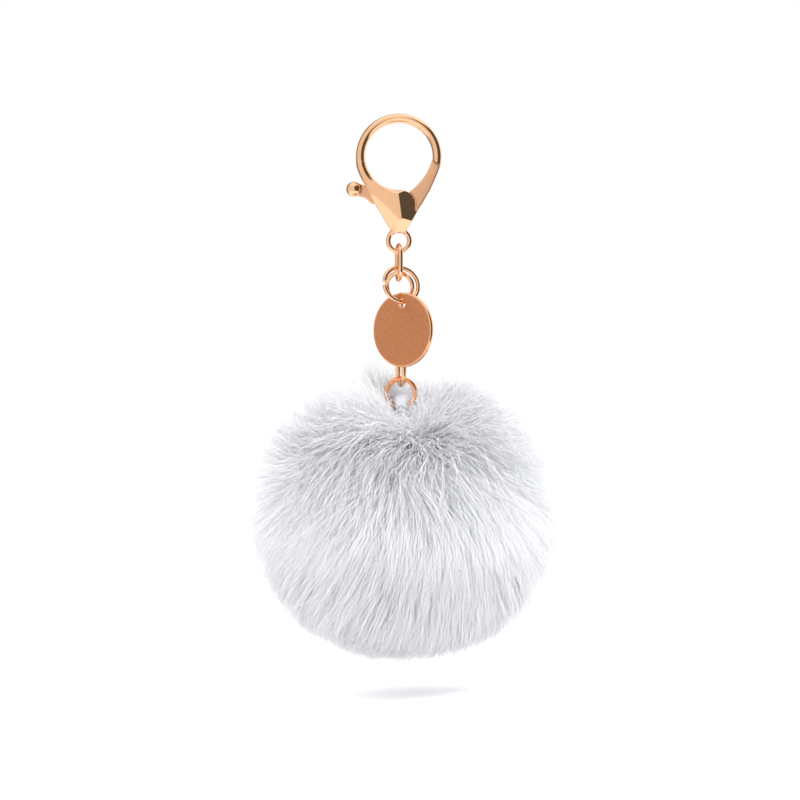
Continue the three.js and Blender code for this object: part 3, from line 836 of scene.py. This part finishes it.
def make_fur():
    """Hairs grow in locks: each hair follows its nearest lock's lean, length and tone.
    A lock's tone is partly random and partly painted shade and painted light.
    """
    steps = HAIR_STEPS
    total = HAIRS_PER_PIECE * FUR_PIECES
    lock_roots = spread_points(LOCKS)
    lock_lean = comb(lock_roots) + 0.09 * rng.normal(size=(LOCKS, 3))
    lock_tip = unit(lock_roots + lock_lean)
    height = 0.875 + 0.035 * smooth_noise(lock_roots, 14, 6.0)[:, 0]
    height += rng.normal(size=LOCKS) * 0.025 + fullness(lock_roots)
    lock_radius = reach_of(lock_tip) * np.clip(height, 0.7, 1)
    lock_rise = rng.uniform(1.2, 1.8, LOCKS)
    lock_hold = rng.uniform(0, 0.4, LOCKS)
    # A lock's tone varies at random. It is lowered in the hollow under the front's ledge as painted
    # shade, and raised on the ball's upper part as painted light.
    lock_tone_shade_and_light = 0.6 + 0.25 * smooth_noise(lock_roots, 12, 8.0)[:, 1] - 0.9 * hollow_of(lock_roots)
    lock_tone_shade_and_light += 0.5 * step_between(lock_roots[:, 2], 0.15, 0.4)
    lock_paths = hair_points(lock_roots, lock_lean, lock_radius, lock_rise, steps)
    roots = spread_points(total)[rng.permutation(total)]
    roots = unit(roots + rng.normal(size=roots.shape) * 0.012)
    owner = np.empty(total, int)
    for start in range(0, total, HAIRS_AT_ONCE):
        some = slice(start, start + HAIRS_AT_ONCE)
        owner[some] = (roots[some] @ lock_roots.T).argmax(1)
    s = np.linspace(0, 1, steps)[None, :, None]
    tip = lock_radius[owner] * (1 + 0.06 * rng.normal(size=total))
    stray = rng.random(total) < 0.4
    tip = np.where(stray, reach_of(roots) * rng.uniform(0.8, 1.03, total), tip)
    tip = np.clip(tip, 26.5, reach_of(unit(roots + lock_lean[owner])) * 1.01)
    lean = lock_lean[owner] + rng.normal(size=roots.shape) * 0.1
    own = hair_points(roots, lean, tip, lock_rise[owner], steps)
    stretch = np.linalg.norm(own, axis=-1, keepdims=True) / BACKING_RADIUS
    offset = (roots - lock_roots[owner])[:, None] * BACKING_RADIUS * stretch
    gathered = lock_paths[owner] + offset * 0.15
    hold = np.where(stray, 0.0, lock_hold[owner])[:, None, None] * s**1.2
    paths = own * (1 - hold) + gathered * hold
    curl = np.clip(rng.normal(size=(total, 1, 3)) * 1.2, -2.2, 2.2)
    curl = curl + rng.normal(size=(total, steps, 3)) * 0.05
    paths = paths + curl * s**2
    thick = rng.uniform(0.035, 0.07, total)
    tone = np.clip(lock_tone_shade_and_light[owner] + rng.normal(size=total) * 0.3, 0, 1)
    for i in range(FUR_PIECES):
        these = slice(i * HAIRS_PER_PIECE, (i + 1) * HAIRS_PER_PIECE)
        name = f"fur_pile_{i + 1}"
        strands(name, paths[these] + BALL, thick[these], tone[these], "fur_pile")


make_fur()


def ball_mesh(radius, rows, sides, top_degrees, ripple):
    """A closed turned ball, whose top is drawn into a rippled mouth."""
    points, faces = [(0, 0, -radius)], []
    polar_angles = np.linspace(math.pi, math.radians(top_degrees), rows + 1)[1:]
    for row, a in enumerate(polar_angles):
        for k in range(sides):
            b = TAU * k / sides
            gather = ripple * math.cos(sides / 4 * b) * (row / rows) ** 6
            r = radius * math.sin(a) * (1 + gather)
            points.append((r * math.cos(b), r * math.sin(b), radius * math.cos(a)))
    points.append((0, 0, radius * math.cos(polar_angles[-1]) - 1.2))
    for k in range(sides):
        q = (k + 1) % sides
        faces.append((0, 1 + q, 1 + k))
        for row in range(rows - 1):
            low, up = 1 + row * sides, 1 + (row + 1) * sides
            faces.append((low + k, low + q, up + q, up + k))
        last = 1 + (rows - 1) * sides
        faces.append((last + k, last + q, len(points) - 1))
    return np.array(points), faces


SWELL_FRAMES = 16
SWELL_MOST = 0.9 * MM
HELD_DEPTH = 4 * MM


def swell(obj, most):
    """Pumps a cloth cover up with its mouth held, and moves its points by up to a cap."""
    mesh = obj.data
    count = len(mesh.vertices)
    rest = np.empty(count * 3)
    mesh.vertices.foreach_get("co", rest)
    rest = rest.reshape(-1, 3)
    held = np.flatnonzero(rest[:, 2] > rest[:, 2].max() - HELD_DEPTH)
    group = obj.vertex_groups.new(name="held")
    group.add(held.tolist(), 1, "REPLACE")
    cloth = obj.modifiers.new("cover", "CLOTH")
    cloth.settings.quality = 4
    cloth.settings.mass = 0.05
    cloth.settings.vertex_group_mass = "held"
    cloth.settings.use_pressure = True
    cloth.settings.uniform_pressure_force = 4
    cloth.settings.effector_weights.gravity = 0
    cloth.point_cache.frame_start, cloth.point_cache.frame_end = 1, SWELL_FRAMES
    for number in range(1, SWELL_FRAMES + 1):
        bpy.context.scene.frame_set(number)
    graph = bpy.context.evaluated_depsgraph_get()
    swollen = np.empty(count * 3)
    obj.evaluated_get(graph).data.vertices.foreach_get("co", swollen)
    move = swollen.reshape(-1, 3) - rest
    size = np.linalg.norm(move, axis=1, keepdims=True)
    move *= np.minimum(1, most / np.maximum(size, 1e-9))
    obj.modifiers.remove(cloth)
    obj.vertex_groups.clear()
    mesh.vertices.foreach_set("co", (rest + move).ravel())
    mesh.update()
    bpy.context.scene.frame_set(1)
    print("cover swelled by up to", round(float(size.max() * 1000), 2), "mm")


core_points, core_faces = ball_mesh(HAIR_ROOT_RADIUS, 36, 60, 9, 0.12)
core_noise = smooth_noise(unit(core_points), 16, 14.0)[:, :1]
core = piece(
    "fur_backing_cover",
    core_points * (1 + 0.01 * core_noise) + BALL,
    core_faces,
    fur,
    "pompom",
    ["fur_backing", "stuffing"],
)
swell(core, SWELL_MOST)

# ---------------------------------------------------------------- hanging loop

CAD_LOOP_HALF = 1.2
LOOP_HALF_THICK = 1.15
LOOP_HALF_WIDE = 1.6
STITCH_LENGTH = 1.4
LOOP_FIBRES = 2600


def loop_piece():
    """A soft knitted band over the ring's wire, with fine fibres standing from it."""
    low, high = (np.array(v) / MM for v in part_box("hanging_loop"))
    middle = (low + high) / 2
    radius = (high[1] - low[1]) / 2 - CAD_LOOP_HALF
    top = high[2] - CAD_LOOP_HALF - radius
    leg = top - low[2]
    down = np.linspace(leg, 0.1, 44)
    arc = np.linspace(math.pi, 0, 40)
    front = np.stack([0 * down, 0 * down - radius, -down], 1)
    over = np.stack([0 * arc, radius * np.cos(arc), radius * np.sin(arc)], 1)
    back = front[::-1] * [1, -1, 1]
    path = np.concatenate([front, over, back]) + [middle[0], middle[1], top]
    n, sides = len(path), 32
    angle = circle_angles(sides)
    round_part = (np.abs(np.cos(angle)) ** 3 + np.abs(np.sin(angle)) ** 3) ** (1 / 6)
    shape = np.stack([LOOP_HALF_THICK * np.cos(angle), LOOP_HALF_WIDE * np.sin(angle)], 1)
    shape /= round_part[:, None]
    run = np.concatenate([[0], np.cumsum(np.linalg.norm(np.diff(path, axis=0), axis=1))])
    stitch = np.sin(TAU * run[:, None] / STITCH_LENGTH + 2.4 * np.abs(np.sin(angle))[None])
    groove = np.exp(-((np.sin(angle) / 0.22) ** 2))[None]
    knit = 0.96 + 0.12 * stitch - 0.08 * groove + 0.02 * rng.normal(size=(n, sides))
    section = shape[None] * knit[..., None]
    tangents = unit(np.gradient(path, axis=0))
    across = np.repeat([[1.0, 0, 0]], n, 0)
    frames = (tangents, np.cross(across, tangents), across)
    points, faces = sweep(path, section, frames=frames)
    piece("hanging_loop_knit", points, faces, textile, "pompom", ["hanging_loop"])
    count = LOOP_FIBRES
    row = rng.integers(2, n - 2, count)
    side = rng.integers(0, sides, count)
    roots = points.reshape(n, sides, 3)[row, side]
    out = unit(roots - path[row] + rng.normal(size=(count, 3)) * 0.7)
    length = rng.uniform(0.35, 1.0, count)[:, None, None]
    s = np.linspace(0, 1, 4)[None, :, None]
    sag = rng.normal(size=(count, 1, 3)) * 0.25 * s**2
    fibres = (roots - 0.1 * out)[:, None] + (out[:, None] * s + sag) * length
    thick = rng.uniform(0.02, 0.035, count)
    strands("hanging_loop_fuzz", fibres, thick, rng.random(count), "hanging_loop")


def knot_piece():
    """The loop's ends tied in an overhand knot."""
    low, high = (np.array(v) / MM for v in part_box("loop_knot"))
    t = np.linspace(0, TAU, 121)[:-1]
    wave = 2 + np.cos(3 * t)
    path = np.stack([wave * np.cos(2 * t), wave * np.sin(2 * t), np.sin(3 * t)], 1)
    half = (high - low) / 2
    cord = 0.3 * half.min()
    path = path / [3, 3, 1] * (half - cord) + (low + high) / 2
    ply = 1 + 0.08 * np.cos(3 * circle_angles(18)[None] + 9 * t[:, None])
    section = circle(cord, 18)[None] * ply[..., None]
    points, faces = sweep(path, section, closed=True)
    piece("loop_knot_tied", points, faces, textile, "pompom", ["loop_knot"])


def thread_piece():
    """The gathering thread: two plies twisted together round the mouth."""
    low, high = (np.array(v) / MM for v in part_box("gathering_thread"))
    wire = (high[2] - low[2]) / 2
    radius = (high[0] - low[0]) / 2 - wire
    t = np.linspace(0, TAU, 241)[:-1]
    points, faces = [], []
    for ply in (0, 1):
        twist = 20 * t + ply * math.pi
        out = radius + 0.5 * wire * np.cos(twist)
        path = np.stack([out * np.cos(t), out * np.sin(t), 0.5 * wire * np.sin(twist)], 1)
        more, more_faces = sweep(path + (low + high) / 2, circle(0.48 * wire, 8), closed=True)
        faces += [tuple(np.array(f) + ply * len(more)) for f in more_faces]
        points.append(more)
    piece(
        "gathering_thread_plies",
        np.concatenate(points),
        faces,
        textile,
        "pompom",
        ["gathering_thread"],
    )


loop_piece()
knot_piece()
thread_piece()

# ---------------------------------------------------------------- studio

# The floor's distance under the ball's solid, and half its width, in metres.
FLOOR_DROP = 0.011
FLOOR_HALF = 6.0


def make_floor():
    height = cad_low[2] - FLOOR_DROP
    mesh = bpy.data.meshes.new("studio_floor")
    signs = ((-1, -1), (1, -1), (1, 1), (-1, 1))
    corners = [(i * FLOOR_HALF, j * FLOOR_HALF, height) for i, j in signs]
    mesh.from_pydata(corners, [], [(0, 1, 2, 3)])
    obj = bpy.data.objects.new("studio_floor", mesh)
    bpy.context.collection.objects.link(obj)
    mat, tree, shader = new_material("pale_floor")
    grain = noise(tree, 4, 2)
    pale = ramp(tree, grain, [(0, (0.93, 0.93, 0.94)), (1, (0.95, 0.95, 0.96))])
    tree.links.new(pale, shader.inputs["Base Color"])
    shader.inputs["Roughness"].default_value = 0.9
    shader.inputs["Specular IOR Level"].default_value = 0.1
    shader.inputs["Emission Color"].default_value = (0.97, 0.98, 1, 1)
    shader.inputs["Emission Strength"].default_value = 0.24
    mesh.materials.append(mat)
    obj.visible_glossy = False


make_floor()


def make_world():
    """White to the camera, even for soft surfaces, and a studio with dark flags for gloss."""
    world = bpy.data.worlds.new("studio")
    bpy.context.scene.world = world
    world.use_nodes = True
    tree = world.node_tree
    background = tree.nodes["Background"]
    coord = tree.nodes.new("ShaderNodeTexCoord")
    split = tree.nodes.new("ShaderNodeSeparateXYZ")
    tree.links.new(coord.outputs["Generated"], split.inputs["Vector"])
    minus = add(tree, "ShaderNodeMath")
    minus.operation = "MULTIPLY"
    minus.inputs[1].default_value = -1
    tree.links.new(split.outputs["Y"], minus.inputs[0])
    turn = add(tree, "ShaderNodeMath")
    turn.operation = "ARCTAN2"
    tree.links.new(split.outputs["X"], turn.inputs[0])
    tree.links.new(minus.outputs[0], turn.inputs[1])
    around = add(tree, "ShaderNodeMapRange")
    around.inputs["From Min"].default_value = -math.pi
    around.inputs["From Max"].default_value = math.pi
    tree.links.new(turn.outputs[0], around.inputs["Value"])

    def at(degrees):
        return (degrees + 180) / 360

    dark, mid, bright = (0.1, 0.1, 0.1), (0.93, 0.9, 0.88), (1.32, 1.3, 1.34)
    rear = (0.35, 0.35, 0.35)
    stops = [
        (at(-180), rear),
        (at(-150), (0.25, 0.25, 0.25)),
        (at(-116), (0.3, 0.3, 0.3)),
        (at(-100), mid),
        (at(4), mid),
        (at(14), dark),
        (at(100), dark),
        (at(110), bright),
        (at(165), bright),
        (at(180), rear),
    ]
    sides = ramp(tree, around.outputs["Result"], stops)
    height = add(tree, "ShaderNodeMapRange")
    height.inputs["From Min"].default_value = -1
    tree.links.new(split.outputs["Z"], height.inputs["Value"])
    ends = ramp(
        tree,
        height.outputs["Result"],
        [(0.25, (1, 1, 1)), (0.31, (0, 0, 0)), (0.84, (0, 0, 0)), (0.92, (1, 1, 1))],
    )
    studio = tree.nodes.new("ShaderNodeMix")
    studio.data_type = "RGBA"
    tree.links.new(ends, studio.inputs["Factor"])
    tree.links.new(sides, studio.inputs["A"])
    studio.inputs["B"].default_value = (*bright, 1)
    soft = ramp(
        tree,
        height.outputs["Result"],
        [(0, (1.0, 1.004, 1.02)), (0.5, (1.06, 1.063, 1.08)), (1, (1.2, 1.2, 1.21))],
    )
    path = tree.nodes.new("ShaderNodeLightPath")
    glossy = tree.nodes.new("ShaderNodeMix")
    glossy.data_type = "RGBA"
    tree.links.new(path.outputs["Is Glossy Ray"], glossy.inputs["Factor"])
    tree.links.new(soft, glossy.inputs["A"])
    tree.links.new(studio.outputs["Result"], glossy.inputs["B"])
    shown = tree.nodes.new("ShaderNodeMix")
    shown.data_type = "RGBA"
    tree.links.new(path.outputs["Is Camera Ray"], shown.inputs["Factor"])
    tree.links.new(glossy.outputs["Result"], shown.inputs["A"])
    shown.inputs["B"].default_value = (1, 1, 1, 1)
    tree.links.new(shown.outputs["Result"], background.inputs["Color"])


make_world()

LIGHT_AIM = Vector((0, 0, -0.09))


def soft_light(name, place, size, watts):
    data = bpy.data.lights.new(name, "AREA")
    data.shape = "DISK"
    data.size = size
    data.energy = watts
    obj = bpy.data.objects.new(name, data)
    bpy.context.collection.objects.link(obj)
    obj.location = place
    aim = LIGHT_AIM - obj.location
    obj.rotation_mode = "QUATERNION"
    obj.rotation_quaternion = aim.to_track_quat("-Z", "Y")
    obj.visible_glossy = False
    obj.visible_camera = False


soft_light("key_light", (0.33, -0.36, 0.5), 0.3, 4.6)
soft_light("rim_light", (-0.45, 0.3, 0.3), 0.4, 2.0)

CAMERA_PLACE = (0.00027, -0.6, -0.0748)
camera_data = bpy.data.cameras.new("camera")
camera_data.lens = 100
camera_data.sensor_width = 36
camera = bpy.data.objects.new("camera", camera_data)
bpy.context.collection.objects.link(camera)
camera.location = CAMERA_PLACE
camera.rotation_euler = (math.pi / 2, 0, 0)
camera_data.clip_start = 0.01
scene = bpy.context.scene
scene.camera = camera
scene.view_settings.view_transform = "Standard"
